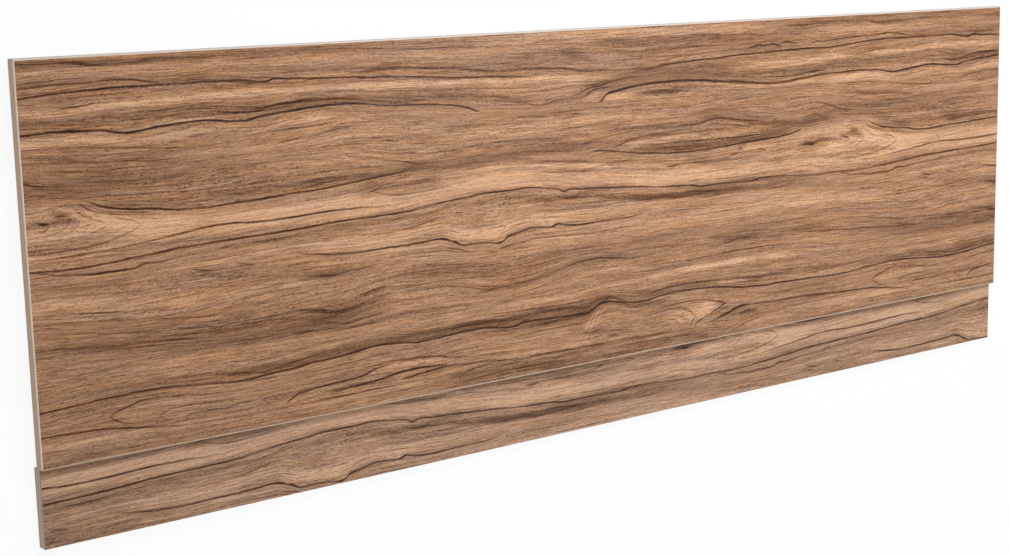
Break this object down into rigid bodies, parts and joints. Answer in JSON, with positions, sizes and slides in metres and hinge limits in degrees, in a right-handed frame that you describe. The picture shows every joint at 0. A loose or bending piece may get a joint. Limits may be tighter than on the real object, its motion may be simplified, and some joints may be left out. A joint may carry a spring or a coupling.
{
  "type": "bath panel",
  "caption": "Straight front bath panel of walnut-effect faced board: a main board with light edging over a narrow plinth board set back below it.",
  "frame": {"origin": "on the floor under the middle of the panel, which lies flat with its decor face up", "axes": "+X along the panel, +Y from the plinth's foot to the main board's top edge, +Z out of the decor face"},
  "size_m": [1.7, 0.56, 0.024],
  "materials": {
    "walnut_decor": "satin walnut-effect decor",
    "main_edging": "satin plain beige-brown edging",
    "plinth_edging": "satin plain grey-brown edging"
  },
  "bodies": {
    "root": {"main_board": "walnut_decor", "main_top_edging": "main_edging", "main_bottom_edging": "main_edging", "main_left_edging": "main_edging", "main_right_edging": "main_edging", "plinth_board": "walnut_decor", "plinth_left_edging": "plinth_edging", "plinth_right_edging": "plinth_edging"}
  },
  "joints": []
}
